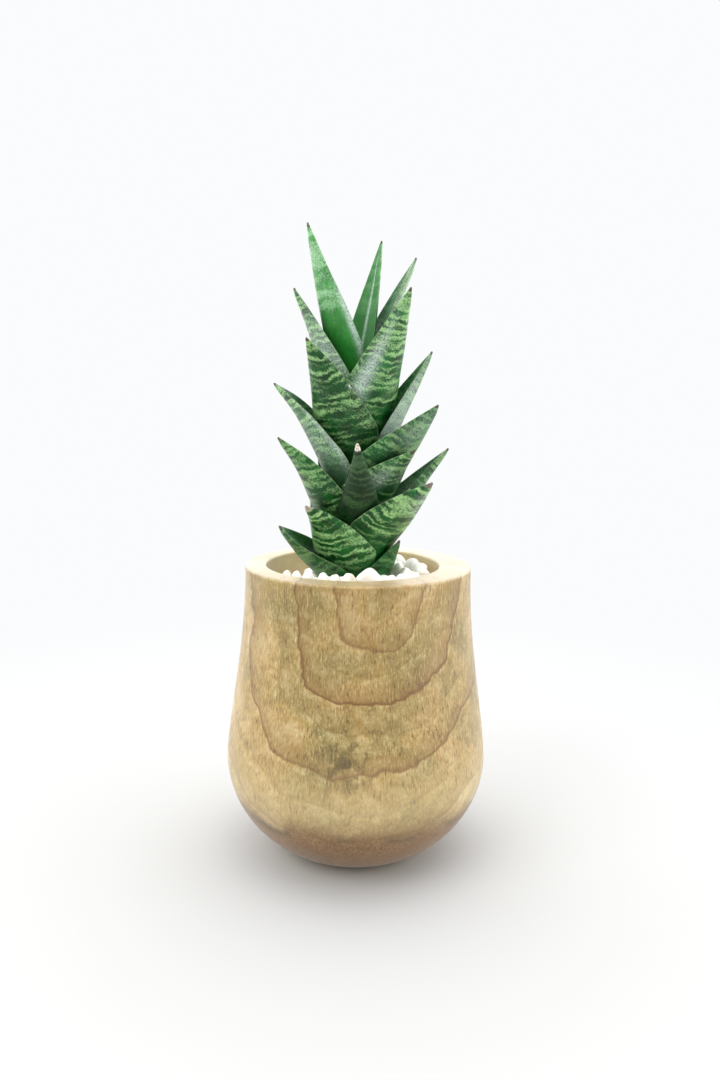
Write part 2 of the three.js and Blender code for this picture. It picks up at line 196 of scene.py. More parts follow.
# Light: the world's strength in front, and above and behind, and its colour; then each lamp's name,
# place, aim and side in metres, and its power in watts.
FRONT_LIGHT = 0.3
BACK_LIGHT = 2.5
STUDIO_WHITE = "#fbfcfd"
LAMPS = [
    ("window", (-0.75, -0.65, 0.85), (0.0, 0.0, 0.14), 0.7, 5.0),
    ("reflector", (0.85, -0.25, 0.25), (0.0, 0.0, 0.1), 0.6, 2.4),
]
FLOOR_RADIUS = 12.0  # metres
FLOOR_FADE = (0.10, 0.45)  # metres from the pot, between which the paper turns to white


# ------------------------------------------------------------------------------- helpers
def ease(x):
    """Rises smoothly from 0 to 1 as x does: x squared times (3 - 2x), held outside."""
    x = np.clip(x, 0.0, 1.0)
    return x * x * (3.0 - 2.0 * x)


def compass(angle, reach, z):
    """The point at that reach from the Z axis, turned by angle from -Y towards +X."""
    return np.stack(np.broadcast_arrays(np.sin(angle) * reach, -np.cos(angle) * reach, z), -1)


def unit(vectors):
    """Each vector divided by its own length."""
    return vectors / np.linalg.norm(vectors, axis=-1, keepdims=True)


def grid_quads(rows, columns, first=0):
    """Quads between neighbouring rows of a grid whose last column joins its first."""
    row, column = np.meshgrid(np.arange(rows - 1), np.arange(columns), indexing="ij")
    low = first + row * columns
    after = (column + 1) % columns
    quads = np.stack([low + column, low + after, low + columns + after, low + columns + column], -1)
    return quads.reshape(-1, 4)


def tube_faces(rows, columns, first=0):
    """The quads along a tube of rings, and one face across each end."""
    first_cap = first + np.arange(columns)[::-1]
    last_cap = first + (rows - 1) * columns + np.arange(columns)
    return [*grid_quads(rows, columns, first), first_cap, last_cap]


def make_piece(name, points, faces, material, nodes, attributes=None):
    """One mesh from points in millimetres and lists of corners, riding on the root body."""
    mesh = bpy.data.meshes.new(name)
    mesh.from_pydata((np.asarray(points) * MM).tolist(), [], [list(map(int, face)) for face in faces])
    mesh.polygons.foreach_set("use_smooth", np.ones(len(mesh.polygons), bool))
    for label, values in (attributes or {}).items():
        layer = mesh.attributes.new(label, "FLOAT_VECTOR", "POINT")
        layer.data.foreach_set("vector", np.asarray(values, np.float32).ravel())
    mesh.materials.append(material)
    mesh.validate()
    mesh.update()
    piece = bpy.data.objects.new(name, mesh)
    bpy.context.scene.collection.objects.link(piece)
    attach(piece, "root")
    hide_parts(*nodes)


def tube_piece(name, rings, material, nodes, attributes=None):
    """A closed surface: rings of points, one after another, with a face across each end."""
    make_piece(name, rings.reshape(-1, 3), tube_faces(*rings.shape[:2]), material, nodes, attributes)


# ----------------------------------------------------------------------------- materials
def colour(hex_code):
    """An sRGB hex value turned to linear red, green, blue and full alpha."""
    channels = np.array([int(hex_code[i:i + 2], 16) for i in (1, 3, 5)]) / 255.0
    linear = np.where(channels <= 0.04045, channels / 12.92, ((channels + 0.055) / 1.055) ** 2.4)
    return (*linear.tolist(), 1.0)


def add(tree, kind, inputs=None, out=0, stops=None, **settings):
    """Adds one shader node with its settings and returns one of its outputs.

    Each input is a value or another node's output. Inputs 1 and 2 of a MapRange are the range it
    reads, from start to end, and 3 and 4 the range it gives, which are 0 and 1 if left out. Stops
    are a ramp's places and shades, in order."""
    node = tree.nodes.new("ShaderNode" + kind)
    for key, value in settings.items():
        setattr(node, key, value)
    for key, value in (inputs or {}).items():
        if isinstance(value, bpy.types.NodeSocket):
            tree.links.new(value, node.inputs[key])
        else:
            node.inputs[key].default_value = value
    if stops:
        ramp = node.color_ramp.elements
        for _ in stops[2:]:
            ramp.new(0.5)
        for element, (place, shade) in zip(ramp, stops):
            element.position = place
            element.color = shade if isinstance(shade, tuple) else (shade, shade, shade, 1.0)
    return node.outputs[out] if node.outputs else node


def new_material(name, **shader_values):
    """A material with one Principled shader, whose constant inputs are set on its sockets."""
    material = bpy.data.materials.new(name)
    material.use_nodes = True
    tree = material.node_tree
    shader = tree.nodes["Principled BSDF"]
    for key, value in shader_values.items():
        shader.inputs[key.replace("_", " ")].default_value = value
    return material, tree, shader


def leaf_bands(tree, lay, along, cells, fine, strength, band_start, band_width):
    """How pale the skin is: a noise stretched across the leaf and an even stripe, both waved
    slowly and sharply and broken up by cells, a little stronger towards the tip."""
    slow = add(tree, "TexNoise", {"Vector": lay, "Scale": 0.12, "Detail": 1.0}, out="Color")
    sharp = add(tree, "TexNoise", {"Vector": lay, "Scale": 0.6, "Detail": 2.0}, out="Color")
    waved = add(tree, "VectorMath", {0: slow, 1: (0.0, 6.0, 0.0), 2: lay}, operation="MULTIPLY_ADD")
    waved = add(tree, "VectorMath", {0: sharp, 1: (0.0, 2.6, 0.0), 2: waved}, operation="MULTIPLY_ADD")
    pitch = 1.15 / band_width
    squeezed = add(tree, "VectorMath", {0: waved, 1: (0.2 * pitch, pitch, 1.0)}, operation="MULTIPLY")
    banding = add(tree, "TexNoise", {"Vector": squeezed, "Scale": 1.0, "Detail": 1.0})
    level = add(tree, "SeparateXYZ", {0: waved}, out=1)
    turns = add(tree, "Math", {0: level, 1: 2.0 * math.pi / band_width}, operation="MULTIPLY")
    stripe = add(tree, "Math", {0: turns}, operation="SINE")
    clump = add(tree, "TexNoise", {"Vector": lay, "Scale": 0.07, "Detail": 1.0})
    pattern = add(tree, "Math", {0: cells, 1: 0.45, 2: banding}, operation="MULTIPLY_ADD")
    pattern = add(tree, "Math", {0: clump, 1: 0.30, 2: pattern}, operation="MULTIPLY_ADD")
    pattern = add(tree, "Math", {0: stripe, 1: 0.09, 2: pattern}, operation="MULTIPLY_ADD")
    pattern = add(tree, "Math", {0: fine, 1: 0.22, 2: pattern}, operation="MULTIPLY_ADD")
    towards_tip = add(tree, "MapRange", {0: along, 1: 0.5, 2: 1.0, 4: 0.12})
    pattern = add(tree, "Math", {0: pattern, 1: towards_tip}, operation="ADD")
    bands = add(tree, "MapRange", {0: pattern, 1: 0.90, 2: 1.24}, interpolation_type="SMOOTHSTEP")
    upper = add(tree, "MapRange", {0: along, 1: band_start, 2: band_start + 0.25},
                interpolation_type="SMOOTHSTEP")
    strength = add(tree, "Math", {0: strength, 1: upper}, operation="MULTIPLY")
    return add(tree, "Math", {0: bands, 1: strength}, operation="MULTIPLY", use_clamp=True)


def leaf_flesh(tree, lay, along, fibres, ground, drift, base, band_start):
    """A green that drifts over the leaf, with lighter fibres, and plainer at the base."""
    drifting = add(tree, "TexNoise", {"Vector": lay, "Scale": 0.2, "Detail": 3.0})
    patchy = add(tree, "MapRange", {0: drifting, 1: 0.38, 2: 0.68})
    flesh = add(tree, "MixRGB", {0: patchy, 1: colour(ground), 2: colour(drift)})
    streaks = add(tree, "MapRange", {0: fibres, 1: 0.5, 2: 0.8, 4: 0.5})
    flesh = add(tree, "MixRGB", {0: streaks, 1: flesh, 2: colour(drift)})
    plain = add(tree, "MapRange", {0: along, 1: band_start + 0.2, 2: band_start - 0.1, 4: 0.8})
    return add(tree, "MixRGB", {0: plain, 1: flesh, 2: colour(base)})


def dead_point(tree, skin, along, cells, dry_share, cream):
    """The leaf's withered point: grey brown to cream, with rusty cells and a ragged edge."""
    from_tip = add(tree, "Math", {0: 1.0, 1: along}, operation="SUBTRACT")
    ragged = add(tree, "Math", {0: cells, 1: 0.03, 2: from_tip}, operation="MULTIPLY_ADD")
    alive = add(tree, "Math", {0: ragged, 1: dry_share}, operation="SUBTRACT")
    dead = add(tree, "MapRange", {0: alive, 1: 0.024, 2: 0.012})
    withered = add(tree, "MixRGB", {0: cream, 1: colour("#4b4235"), 2: colour("#ece4d0")})
    rusty = add(tree, "MapRange", {0: cells, 1: 0.5, 2: 0.62, 4: 0.6})
    withered = add(tree, "MixRGB", {0: rusty, 1: withered, 2: colour("#7b5b3c")})
    return add(tree, "MixRGB", {0: dead, 1: skin, 2: withered})


def leaf_material(name, ground, drift, pale, base, inside, band_start, band_width):
    """Living leaf with a waxen skin: dark green flesh crossed by pale, broken, wavy bands.

    The bands lie across the leaf, band_width millimetres apart, begin at band_start of its
    length and are broken up by cells of about 0.6 mm. The same cells and the fibres along
    the leaf roughen the skin and mottle the painted sheen, pale blue-white patches that stand in
    for glossy highlights on parts of it. Painted shade darkens some leaves more than others."""
    material, tree, shader = new_material(name, Roughness=0.36, IOR=1.36, Coat_Weight=0.1,
                                          Coat_Roughness=0.25, Coat_IOR=1.4)
    lay, blade, nature, painted_sheen_and_shade = (add(tree, "Attribute", out="Vector", attribute_name=label)
                                for label in ("lay", "blade", "nature", "painted_sheen_and_shade"))
    across, along, within = (add(tree, "SeparateXYZ", {0: blade}, out=part) for part in range(3))
    strength, dry_share, cream = (add(tree, "SeparateXYZ", {0: nature}, out=part) for part in range(3))
    painted_sheen, painted_shade = (add(tree, "SeparateXYZ", {0: painted_sheen_and_shade}, out=part) for part in range(2))
    cells = add(tree, "TexNoise", {"Vector": lay, "Scale": 1.5, "Detail": 2.0, "Roughness": 0.6})
    fine = add(tree, "TexNoise", {"Vector": lay, "Scale": 4.5, "Detail": 2.0, "Roughness": 0.7})
    stretched = add(tree, "VectorMath", {0: lay, 1: (1.6, 0.2, 1.0)}, operation="MULTIPLY")
    fibres = add(tree, "TexNoise", {"Vector": stretched, "Scale": 1.0, "Detail": 2.0})
    pale_here = leaf_bands(tree, lay, along, cells, fine, strength, band_start, band_width)
    flesh = leaf_flesh(tree, lay, along, fibres, ground, drift, base, band_start)
    skin = add(tree, "MixRGB", {0: pale_here, 1: flesh, 2: colour(pale)})
    speckled = add(tree, "Math", {0: fine, 1: 0.6, 2: cells}, operation="MULTIPLY_ADD")
    dark_cells = add(tree, "MapRange", {0: speckled, 1: 0.8, 2: 0.58, 4: 0.75})
    skin = add(tree, "MixRGB", {0: dark_cells, 1: skin, 2: colour(ground)})
    # painted shade: some leaves are darkened towards a near-black green, least where their bands are pale
    painted_shade_share = add(tree, "MapRange", {0: pale_here, 1: 1.0, 2: 0.0, 3: 0.3, 4: 1.0})
    painted_shade_share = add(tree, "Math", {0: painted_shade_share, 1: painted_shade}, operation="MULTIPLY")
    skin = add(tree, "MixRGB", {0: painted_shade_share, 1: skin, 2: colour("#06250a")})
    shaded = add(tree, "Math", {0: within, 1: 0.7}, operation="MULTIPLY")
    skin = add(tree, "MixRGB", {0: shaded, 1: skin, 2: colour(inside)})

    # painted sheen: blue-white patches standing in for glossy highlights and reflections, shown most on the
    # crests between the cells
    crests = add(tree, "MapRange", {0: speckled, 1: 0.62, 2: 0.95, 3: 0.3, 4: 1.15})
    painted_sheen_share = add(tree, "Math", {0: painted_sheen, 1: crests}, operation="MULTIPLY", use_clamp=True)
    skin = add(tree, "MixRGB", {0: painted_sheen_share, 1: skin, 2: colour("#cfe0d6")})

    # margin: a hairline of paler skin
    side = add(tree, "Math", {0: across}, operation="ABSOLUTE")
    margin = add(tree, "MapRange", {0: side, 1: 0.975, 2: 0.998, 4: 0.4}, interpolation_type="SMOOTHSTEP")
    skin = add(tree, "MixRGB", {0: margin, 1: skin, 2: colour("#a3ad86")})
    skin = dead_point(tree, skin, along, cells, dry_share, cream)
    tree.links.new(skin, shader.inputs["Base Color"])

    # skin relief: shallow pits about 0.6 mm apart, and fibres along the leaf
    relief = add(tree, "Math", {0: fibres, 1: 0.5, 2: speckled}, operation="MULTIPLY_ADD")
    bump = add(tree, "Bump", {"Strength": 0.8, "Distance": 0.00022, "Height": relief})
    tree.links.new(bump, shader.inputs["Normal"])
    gloss = add(tree, "MapRange", {0: cells, 1: 0.3, 2: 0.7, 3: 0.28, 4: 0.46})
    tree.links.new(gloss, shader.inputs["Roughness"])
    return material


def growth_rings(tree, bent):
    """Growth lines, and the shade that deepens up to each one, by the distance from the log's
    heart: across and down, each to the power RING_POWER, are added and brought back to length.
    A line comes in over 1 mm and ends within 0.3 mm; its shade comes in over 6.5 mm."""
    down = add(tree, "Math", {0: POT_HEIGHT + HEART_ABOVE_RIM, 1: add(tree, "SeparateXYZ", {0: bent}, out=2)},
               operation="SUBTRACT")
    heart = add(tree, "Math", {0: down, 1: HEART_LEAN, 2: HEART_X}, operation="MULTIPLY_ADD")
    sideways = add(tree, "Math", {0: add(tree, "SeparateXYZ", {0: bent}), 1: heart}, operation="SUBTRACT")
    sideways = add(tree, "Math", {0: sideways}, operation="ABSOLUTE")
    sideways = add(tree, "Math", {0: sideways, 1: RING_POWER}, operation="POWER")
    upwards = add(tree, "Math", {0: down}, operation="ABSOLUTE")
    upwards = add(tree, "Math", {0: upwards, 1: RING_SQUASH}, operation="MULTIPLY")
    upwards = add(tree, "Math", {0: upwards, 1: RING_POWER}, operation="POWER")
    summed = add(tree, "Math", {0: sideways, 1: upwards}, operation="ADD")
    ring = add(tree, "Math", {0: summed, 1: 1.0 / RING_POWER}, operation="POWER")
    ring = add(tree, "Math", {0: ring, 1: RING_SPAN}, operation="DIVIDE")
    line_stops = [(0.0, 0.05)]
    shade_stops = [(0.0, 0.75)]
    for radius, depth in RINGS:
        line_stops += [((radius - 1.0) / RING_SPAN, 0.0), (radius / RING_SPAN, depth),
                       ((radius + 0.3) / RING_SPAN, 0.0)]
        shade_stops += [((radius - 6.5) / RING_SPAN, 0.25), (radius / RING_SPAN, 0.7 * depth + 0.3),
                        ((radius + 0.5) / RING_SPAN, 0.0)]
    line = add(tree, "ValToRGB", {0: ring}, stops=line_stops + [(1.0, 0.1)])
    shade = add(tree, "ValToRGB", {0: ring}, stops=shade_stops + [(1.0, 0.2)])
    return line, shade


def wood_ground(tree, patch, blotch, mottle, shade):
    """Honey and olive patches, two sizes of mottling over them, and the rings' shade."""
    wood = add(tree, "ValToRGB", {0: patch}, stops=[
        (0.34, colour("#887a3e")), (0.47, colour("#a89150")), (0.56, colour("#ba9755")),
        (0.68, colour("#d6bd84"))])
    light_and_dark = [(blotch, 0.5, 0.7, 0.5, "#dcc797"), (blotch, 0.48, 0.3, 0.5, "#8f7440"),
                      (mottle, 0.5, 0.34, 0.6, "#8a6c3a"), (mottle, 0.52, 0.68, 0.6, "#dccb9c")]
    for noise, start, full, most, tone in light_and_dark:
        share = add(tree, "MapRange", {0: noise, 1: start, 2: full, 4: most})
        wood = add(tree, "MixRGB", {0: share, 1: wood, 2: colour(tone)})
    shading = add(tree, "Math", {0: shade, 1: 0.8}, operation="MULTIPLY")
    return add(tree, "MixRGB", {0: shading, 1: wood, 2: colour("#8b6a35")})


def foot_band(tree, wood, patch, mottle, level):
    """A paler zone low on the pot, then a mottled brown band round its foot, burnt in places
    along its upper part."""
    paler = add(tree, "MapRange", {0: level, 1: PALE_ZONE[0], 2: PALE_ZONE[1], 4: 0.3})
    wood = add(tree, "MixRGB", {0: paler, 1: wood, 2: colour("#e2cf9f")})
    wavy_level = add(tree, "Math", {0: patch, 1: 16.0, 2: level}, operation="MULTIPLY_ADD")
    uneven = add(tree, "MapRange", {0: mottle, 1: 0.38, 2: 0.62, 3: 0.98, 4: 0.65})
    brown = add(tree, "MapRange", {0: wavy_level, 1: FOOT_BAND[0], 2: FOOT_BAND[1], 4: uneven},
                interpolation_type="SMOOTHSTEP")
    wood = add(tree, "MixRGB", {0: brown, 1: wood, 2: colour("#714003")})
    above = add(tree, "Math", {0: wavy_level, 1: BURN_HEIGHT}, operation="SUBTRACT")
    above = add(tree, "Math", {0: above}, operation="ABSOLUTE")
    edge = add(tree, "MapRange", {0: above, 1: BURN_REACH, 2: 0.0})
    burns = add(tree, "MapRange", {0: patch, 1: 0.47, 2: 0.6, 4: 0.75})
    burnt = add(tree, "Math", {0: edge, 1: burns}, operation="MULTIPLY")
    return add(tree, "MixRGB", {0: burnt, 1: wood, 2: colour("#57401f")})


def rim_grain_sheen_and_bore_light(tree, wood, scaled, bent, patch, level):
    """The rim's paler end grain, with painted sheen that lightens it most at its sides and back, and painted
    light that makes the bore's wall paler.
    """
    depth = add(tree, "SeparateXYZ", {0: bent}, out=1)
    # painted sheen: the rim top is painted lighter towards its sides and back, over its own paler end grain
    away = add(tree, "MapRange", {0: depth, 1: -42.0, 2: -14.0, 3: 0.1, 4: 1.0})
    rim_pale_grain_and_sheen = add(tree, "MapRange", {0: patch, 1: 0.35, 2: 0.6, 3: 0.5, 4: 0.9})
    rim_pale_grain_and_sheen = add(tree, "Math", {0: rim_pale_grain_and_sheen, 1: away}, operation="MULTIPLY")
    top = add(tree, "MapRange", {0: level, 1: POT_HEIGHT - 0.9, 2: POT_HEIGHT - 0.2, 4: rim_pale_grain_and_sheen})
    wood = add(tree, "MixRGB", {0: top, 1: wood, 2: colour("#cfc2a4")})
    flat = add(tree, "VectorMath", {0: scaled, 1: (1.0, 1.0, 0.0)}, operation="MULTIPLY")
    axis = (BORE_OFFSET[0], BORE_OFFSET[1], 0.0)
    reach = add(tree, "VectorMath", {0: flat, 1: axis}, out="Value", operation="DISTANCE")
    # painted light: the bore's wall is painted paler, standing in for light that falls into the bore
    painted_bore_light = add(tree, "MapRange", {0: reach, 1: BORE_RADIUS + 1.2, 2: BORE_RADIUS + 0.6, 4: 0.65})
    return add(tree, "MixRGB", {0: painted_bore_light, 1: wood, 2: colour("#f6dfb4")})


def wood_material():
    """Pale hardwood, turned and waxed: tan to olive, with brown growth lines in nested U shapes.

    The log's heart runs from front to back just above the rim, so each ring leaves a flat-bottomed
    U on the front and the back. Pores are dark dashes about 0.4 mm wide and 2 to 3 mm long."""
    material, tree, shader = new_material("waxed turned hardwood", Roughness=0.45, IOR=1.5,
                                          Coat_Weight=0.2, Coat_Roughness=0.35,
                                          Sheen_Weight=0.25, Sheen_Roughness=0.35)
    place = add(tree, "TexCoord", out="Object")
    scaled = add(tree, "VectorMath", {0: place, 1: (1.0 / MM, 1.0 / MM, 1.0 / MM)}, operation="MULTIPLY")

    wobble = add(tree, "TexNoise", {"Vector": scaled, "Scale": 0.045, "Detail": 4.0, "Roughness": 0.55},
                 out="Color")
    shift = add(tree, "VectorMath", {0: wobble, 1: (0.5, 0.5, 0.5)}, operation="SUBTRACT")
    bent = add(tree, "VectorMath", {0: shift, 1: (17.0, 17.0, 14.0), 2: scaled}, operation="MULTIPLY_ADD")
    line, shade = growth_rings(tree, bent)
    patch = add(tree, "TexNoise", {"Vector": scaled, "Scale": 0.04, "Detail": 4.0, "Roughness": 0.6})
    blotch = add(tree, "TexNoise", {"Vector": scaled, "Scale": 0.2, "Detail": 4.0, "Roughness": 0.6})
    drawn_out = add(tree, "VectorMath", {0: scaled, 1: (1.0, 1.0, 0.45)}, operation="MULTIPLY")
    mottle = add(tree, "TexNoise", {"Vector": drawn_out, "Scale": 1.3, "Detail": 4.0, "Roughness": 0.75})
    wood = wood_ground(tree, patch, blotch, mottle, shade)

    # pores and fibres run up the pot, thick in some places and sparse in others
    upright = add(tree, "VectorMath", {0: scaled, 1: (1.8, 1.8, 0.24)}, operation="MULTIPLY")
    pores = add(tree, "TexNoise", {"Vector": upright, "Scale": 1.0, "Detail": 3.0, "Roughness": 0.6})
    crowded = add(tree, "Math", {0: blotch, 1: -0.35, 2: pores}, operation="MULTIPLY_ADD")
    pore = add(tree, "MapRange", {0: crowded, 1: 0.42, 2: 0.53, 4: 0.8})
    wood = add(tree, "MixRGB", {0: pore, 1: wood, 2: colour("#5d4424")})
    silk = add(tree, "MapRange", {0: pores, 1: 0.44, 2: 0.3, 4: 0.45})
    wood = add(tree, "MixRGB", {0: silk, 1: wood, 2: colour("#e0ca94")})
    drawn = add(tree, "Math", {0: line, 1: 0.85}, operation="MULTIPLY")
    wood = add(tree, "MixRGB", {0: drawn, 1: wood, 2: colour("#70451b")})

    # low down, the foot's band; at mid height a grey stain; at the top paler end grain with painted sheen,
    # and painted light in the bore
    level = add(tree, "SeparateXYZ", {0: scaled}, out=2)
    wood = foot_band(tree, wood, patch, mottle, level)
    apart = add(tree, "VectorMath", {0: scaled, 1: STAIN_PLACE}, out="Value", operation="DISTANCE")
    near = add(tree, "MapRange", {0: apart, 1: STAIN_REACH[0], 2: STAIN_REACH[1], 4: 0.65})
    blots = add(tree, "MapRange", {0: blotch, 1: 0.56, 2: 0.42})
    stain = add(tree, "Math", {0: near, 1: blots}, operation="MULTIPLY")
    wood = add(tree, "MixRGB", {0: stain, 1: wood, 2: colour("#4a4228")})
    wood = rim_grain_sheen_and_bore_light(tree, wood, scaled, bent, patch, level)
    tree.links.new(wood, shader.inputs["Base Color"])

    relief = add(tree, "Math", {0: mottle, 1: pore}, operation="SUBTRACT")
    bump = add(tree, "Bump", {"Strength": 0.5, "Distance": 0.00025, "Height": relief})
    tree.links.new(bump, shader.inputs["Normal"])
    gloss = add(tree, "MapRange", {0: mottle, 1: 0.3, 2: 0.7, 3: 0.36, 4: 0.52})
    tree.links.new(gloss, shader.inputs["Roughness"])
    return material


def marble_material():
    """Tumbled marble chips: creamy white, faintly veined, matt with a slight polish."""
    material, tree, shader = new_material("tumbled marble", Roughness=0.5, IOR=1.5)
    place = add(tree, "TexCoord", out="Object")
    veins = add(tree, "TexNoise", {"Vector": place, "Scale": 170.0, "Detail": 5.0, "Roughness": 0.65,
                                   "Distortion": 0.8})
    stone = add(tree, "ValToRGB", {0: veins}, stops=[
        (0.3, colour("#ecdfc8")), (0.42, colour("#f8f4ea")), (0.62, colour("#fdfcf8"))])
    tree.links.new(stone, shader.inputs["Base Color"])
    chips = add(tree, "TexNoise", {"Vector": place, "Scale": 900.0, "Detail": 4.0, "Roughness": 0.7})
    bump = add(tree, "Bump", {"Strength": 0.35, "Distance": 0.00015, "Height": chips})
    tree.links.new(bump, shader.inputs["Normal"])
    return material


def soil_material():
    """Damp potting mix: near-black brown crumbs with lighter fibres."""
    material, tree, shader = new_material("damp potting mix", Roughness=0.9, IOR=1.4)
    place = add(tree, "TexCoord", out="Object")
    crumbs = add(tree, "TexNoise", {"Vector": place, "Scale": 700.0, "Detail": 6.0, "Roughness": 0.75})
    earth = add(tree, "ValToRGB", {0: crumbs}, stops=[
        (0.35, colour("#1c140e")), (0.55, colour("#3a2a1d")), (0.75, colour("#6b5138"))])
    tree.links.new(earth, shader.inputs["Base Color"])
    bump = add(tree, "Bump", {"Strength": 0.9, "Distance": 0.0006, "Height": crumbs})
    tree.links.new(bump, shader.inputs["Normal"])
    return material


def stem_material():
    """Fleshy stem: pale green, ringed where leaves join it."""
    material, tree, shader = new_material("fleshy stem", Roughness=0.55, IOR=1.42)
    place = add(tree, "TexCoord", out="Object")
    rings = add(tree, "TexWave", {"Vector": place, "Scale": 60.0, "Distortion": 3.0, "Detail": 2.0},
                out="Fac", bands_direction="Z")
    green = add(tree, "MixRGB", {0: rings, 1: colour("#4f6b33"), 2: colour("#8ca35a")})
    tree.links.new(green, shader.inputs["Base Color"])
    bump = add(tree, "Bump", {"Strength": 0.4, "Distance": 0.0004, "Height": rings})
    tree.links.new(bump, shader.inputs["Normal"])
    return material


# ----------------------------------------------------------------------------------- pot
def pot_radius(z):
    """Outside radius: below the belly the foot swells by (1 - (1 - z/h)^2) to the power
    FOOT_SWELL; above it the wall draws in by a quarter sine to the power WALL_DRAW_IN."""
    below = 1.0 - np.clip(z / POT_BELLY_HEIGHT, 0.0, 1.0)
    swell = POT_FOOT_RADIUS + (POT_BELLY_RADIUS - POT_FOOT_RADIUS) * (1.0 - below**2) ** FOOT_SWELL
    above = np.clip((z - POT_BELLY_HEIGHT) / (POT_HEIGHT - POT_BELLY_HEIGHT), 0.0, 1.0)
    inset = (POT_BELLY_RADIUS - POT_RIM_RADIUS) * np.sin(np.pi / 2 * above) ** WALL_DRAW_IN
    return np.where(z < POT_BELLY_HEIGHT, swell, POT_BELLY_RADIUS - inset)


def quarter_round(radius_from, z_from, radius_to, z_to, steps=7):
    """A quarter of an ellipse between two points, leaving upright and arriving level."""
    turn = np.linspace(0.0, np.pi / 2, steps)
    return np.stack([radius_to + (radius_from - radius_to) * np.cos(turn),
                     z_from + (z_to - z_from) * np.sin(turn)], -1)


def make_pot(material):
    """A profile of (radius, height, share of the bore's offset) turned about Z. Its share runs
    from 0 outside to 1 in the bore, so the bore stands off centre and the rim joins the two."""
    sides, wall_rows = 192, 40
    heights = POT_HEIGHT * np.linspace(0.0, 1.0, 120) ** 1.35  # closest together at the foot
    heights = heights[heights < POT_HEIGHT - RIM_ROUND]
    outside = np.stack([pot_radius(heights), heights], -1)
    outer_lip = quarter_round(pot_radius(POT_HEIGHT - RIM_ROUND), POT_HEIGHT - RIM_ROUND,
                              POT_RIM_RADIUS - RIM_ROUND, POT_HEIGHT)
    inner_lip = quarter_round(BORE_RADIUS, POT_HEIGHT - RIM_ROUND, BORE_RADIUS + RIM_ROUND, POT_HEIGHT)[::-1]
    depths = np.linspace(POT_HEIGHT - RIM_ROUND, BORE_FLOOR, wall_rows + 1)[1:]
    wall = np.stack([np.full(wall_rows, BORE_RADIUS), depths], -1)
    flat = np.linspace(POT_RIM_RADIUS - RIM_ROUND, BORE_RADIUS + RIM_ROUND, 8)[1:-1]
    rim = np.stack([flat, np.full(len(flat), POT_HEIGHT)], -1)
    foot = np.array([[0.6 * POT_FOOT_RADIUS, 0.0], [POT_FOOT_RADIUS - FOOT_EASED, 0.0]])
    floor = np.array([[0.5 * BORE_RADIUS, BORE_FLOOR], [1.0, BORE_FLOOR]])
    profile = np.concatenate([foot, outside, outer_lip, rim, inner_lip, wall, floor])
    share = np.concatenate([
        np.zeros(len(foot) + len(outside) + len(outer_lip)),
        np.linspace(0.0, 1.0, len(rim) + 2)[1:-1],
        np.ones(len(inner_lip) + len(wall) + len(floor)),
    ])
    turn = np.linspace(0.0, 2 * np.pi, sides, endpoint=False)
    rings = compass(turn[None, :], profile[:, :1], profile[:, 1:])
    rings[..., :2] += share[:, None, None] * BORE_OFFSET
    tube_piece("turned_pot", rings, material, ["pot"])


# ---------------------------------------------------------------------------------- stem
def stem_x(z):
    """The stem leans a little to the left as it rises."""
    return STEM_X - (z - STEM_X_HEIGHT) / STEM_LEAN


def core_radius(z):
    """Radius that the leaf bases close round: widest at the gravel, tapering by a power."""
    up = np.clip((z - CORE_HEIGHTS[0]) / (CORE_HEIGHTS[1] - CORE_HEIGHTS[0]), 0.0, 1.0)
    return CORE_RADIUS - (CORE_RADIUS - CORE_TIP_RADIUS) * up**CORE_TAPER


def make_stem(material):
    """Rings round the leaning axis, swollen by a small sine at each leaf's joint."""
    rows, sides = 90, 36
    z = np.linspace(*STEM_HEIGHTS, rows)
    from_end = np.minimum(z - STEM_HEIGHTS[0] + 0.1, STEM_HEIGHTS[1] - z + 0.1)
    ends = np.sqrt(np.clip(from_end / STEM_END_ROUND, 0.0, 1.0))
    swollen = core_radius(z) - STEM_INSET + JOINT_SWELL * np.sin(z * JOINT_WAVE)
    radius = np.maximum(swollen, STEM_LEAST_RADIUS) * ends
    turn = np.linspace(0.0, 2 * np.pi, sides, endpoint=False)
    rings = compass(turn[None, :], radius[:, None], z[:, None])
    rings[..., 0] += stem_x(z)[:, None]
    tube_piece("leaf_stem", rings, material, ["stem"])


# -------------------------------------------------------------------------------- leaves
def leaf_axes(leaf):
    """Middle line and axes of a leaf at each row. The tilt from upright eases from base to
    middle and on to the tip; the line is the running sum of its direction; across and inward
    turn about it by the twist. Returns share of the length, place, across and inward."""
    t = np.linspace(0.0, 1.0, LEAF_ROWS)
    low, middle, high = np.radians(leaf["lean"])
    tilt = low + (middle - low) * ease(t / BENT_AT)
    tilt = tilt + (high - middle) * ease((t - BENT_AT) / (1.0 - BENT_AT))
    facing = np.radians(leaf["facing"] + leaf.get("sweep", 0.0) * t * t)
    along = compass(facing, np.sin(tilt), np.cos(tilt))
    steps = (along[1:] + along[:-1]) / 2 * leaf["length"] / (LEAF_ROWS - 1)
    start = compass(np.radians(leaf["facing"]), core_radius(leaf["height"]), leaf["height"])
    start[0] += stem_x(leaf["height"])
    place = start + np.concatenate([np.zeros((1, 3)), np.cumsum(steps, axis=0)])
    across = np.stack([np.cos(facing), np.sin(facing), 0 * facing], -1)
    inward = np.cross(along, across)
    twist = (np.radians(leaf.get("twist", 0.0)) * ease(t))[:, None]
    turned = across * np.cos(twist) + inward * np.sin(twist)
    return t, place, turned, inward * np.cos(twist) - across * np.sin(twist)


